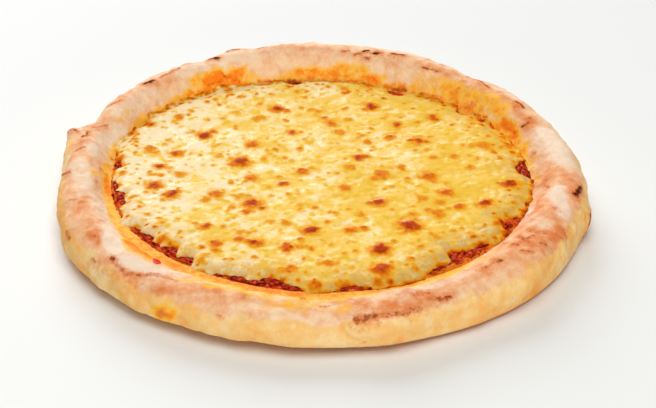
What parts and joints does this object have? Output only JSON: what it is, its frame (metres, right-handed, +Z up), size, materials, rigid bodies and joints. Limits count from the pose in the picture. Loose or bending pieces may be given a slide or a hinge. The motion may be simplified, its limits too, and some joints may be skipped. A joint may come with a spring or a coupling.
{
  "type": "three cheese pizza",
  "caption": "Whole round baked pizza with a risen, blistered crust rim, a thin layer of tomato sauce and a browned sheet of melted cheese.",
  "frame": {"origin": "under the middle of the pizza's bounding box, on the plane of its flat underside", "axes": "+Z up through the pizza, -Y towards the side shown at the front, +X to that side's right"},
  "size_m": [0.3002, 0.3012, 0.0348],
  "materials": {
    "crust": "dry baked dough, floury on top and tan on its sides, with scorched spots",
    "sauce": "moist tomato sauce, dark red, with orange oil at its edge",
    "cheese": "melted cheese, cream to golden yellow, with browned blisters and a little oil"
  },
  "bodies": {
    "root": {"crust": "crust", "sauce": "sauce", "cheese": "cheese"}
  },
  "joints": []
}
